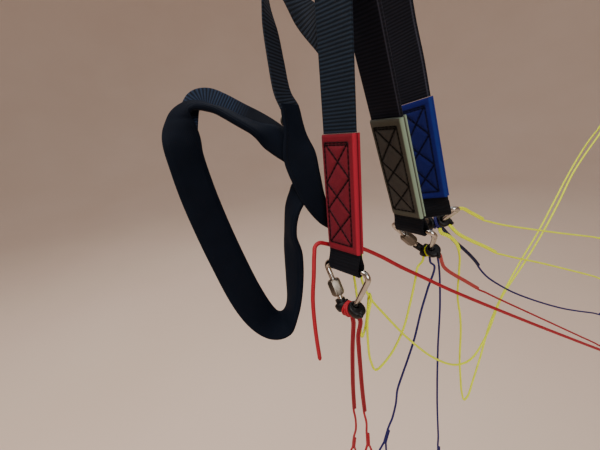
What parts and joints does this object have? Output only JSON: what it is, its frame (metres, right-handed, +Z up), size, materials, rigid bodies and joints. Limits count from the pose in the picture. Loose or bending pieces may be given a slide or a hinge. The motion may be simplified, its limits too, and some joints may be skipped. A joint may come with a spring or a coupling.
{
  "type": "paraglider riser set",
  "caption": "Paraglider riser set for one side: webbing risers on one hang-in loop, stitched coloured tabs, steel quick links with lines, and a padded brake handle.",
  "frame": {"origin": "where the harness carabiner bears at the top of the hang-in loop", "axes": "+Z up along the front riser, +X across the webbing, +Y from the front riser to the rear one"},
  "size_m": [0.248, 0.5158, 0.7253],
  "materials": {
    "webbing_polyester": "woven polyester webbing",
    "tab_red": "woven polyester cover",
    "tab_olive": "woven polyester cover",
    "tab_blue": "woven polyester cover",
    "padded_fabric": "padded fabric",
    "stainless_steel": "polished stainless steel",
    "sleeve_steel": "turned stainless steel",
    "link_rubber": "moulded rubber",
    "line_red": "braided sheath",
    "line_navy": "braided sheath",
    "line_yellow": "braided sheath"
  },
  "bodies": {
    "riser_set": {"brake_flap": "padded_fabric", "brake_handle": "padded_fabric", "brake_handle_backing": "webbing_polyester", "brake_line": "line_red", "brake_line_knot": "line_red", "brake_line_tail": "line_red", "brake_press_stud": "stainless_steel", "brake_ring": "stainless_steel", "brake_strap": "webbing_polyester", "hang_in_loop": "webbing_polyester", "line_a_red_left": "line_red", "line_a_red_right": "line_red", "line_b_navy_hanging": "line_navy", "line_b_red_away": "line_red", "line_b_yellow": "line_yellow", "line_c_navy_away": "line_navy", "line_c_navy_hanging": "line_navy", "line_c_yellow_drooping": "line_yellow", "line_c_yellow_lower": "line_yellow", "line_c_yellow_upper": "line_yellow", "riser_a_eye": "webbing_polyester", "riser_a_tab": "tab_red", "riser_a_webbing": "webbing_polyester", "riser_b_eye": "webbing_polyester", "riser_b_tab": "tab_olive", "riser_b_webbing": "webbing_polyester", "riser_c_eye": "webbing_polyester", "riser_c_tab": "tab_blue", "riser_c_webbing": "webbing_polyester"},
    "link_a": {"link_a_body": "stainless_steel", "link_a_insert": "link_rubber", "line_a_wrap": "line_red"},
    "sleeve_a": {"link_a_sleeve": "sleeve_steel"},
    "link_b": {"link_b_body": "stainless_steel", "link_b_insert": "link_rubber", "line_b_wrap": "line_yellow"},
    "sleeve_b": {"link_b_sleeve": "sleeve_steel"},
    "link_c": {"link_c_body": "stainless_steel", "link_c_insert": "link_rubber", "line_c_wrap": "line_navy"},
    "sleeve_c": {"link_c_sleeve": "sleeve_steel"}
  },
  "joints": [
    {"name": "link_a_swing", "type": "hinge", "parent": "riser_set", "child": "link_a", "pos_m": [0, 0, -0.463], "axis": [1, 0, 0], "range_deg": [-60, 8], "deforming": ["line_a_red_left", "line_a_red_right", "brake_line_tail"]},
    {"name": "sleeve_a_travel", "type": "slide", "parent": "link_a", "child": "sleeve_a", "axis": [-0.4299, 0, 0.9029], "range_m": [0, 0.0075]},
    {"name": "link_b_swing", "type": "hinge", "parent": "riser_set", "child": "link_b", "pos_m": [0.0127, 0.06596, -0.45236], "axis": [0.9936, -0.112, 0.015], "range_deg": [-22, 8], "deforming": ["line_b_navy_hanging", "line_b_red_away", "line_b_yellow"]},
    {"name": "sleeve_b_travel", "type": "slide", "parent": "link_b", "child": "sleeve_b", "axis": [-0.5011, -0.5141, 0.6961], "range_m": [0, 0.0075]},
    {"name": "link_c_swing", "type": "hinge", "parent": "riser_set", "child": "link_c", "pos_m": [0.01776, 0.093, -0.44607], "axis": [0.8635, 0.4643, 0.1971], "range_deg": [-10, 50], "deforming": ["line_c_yellow_upper", "line_c_yellow_lower", "line_c_yellow_drooping", "line_c_navy_away", "line_c_navy_hanging"]},
    {"name": "sleeve_c_travel", "type": "slide", "parent": "link_c", "child": "sleeve_c", "axis": [-0.108, -0.9024, 0.4172], "range_m": [0, 0.0075]}
  ]
}
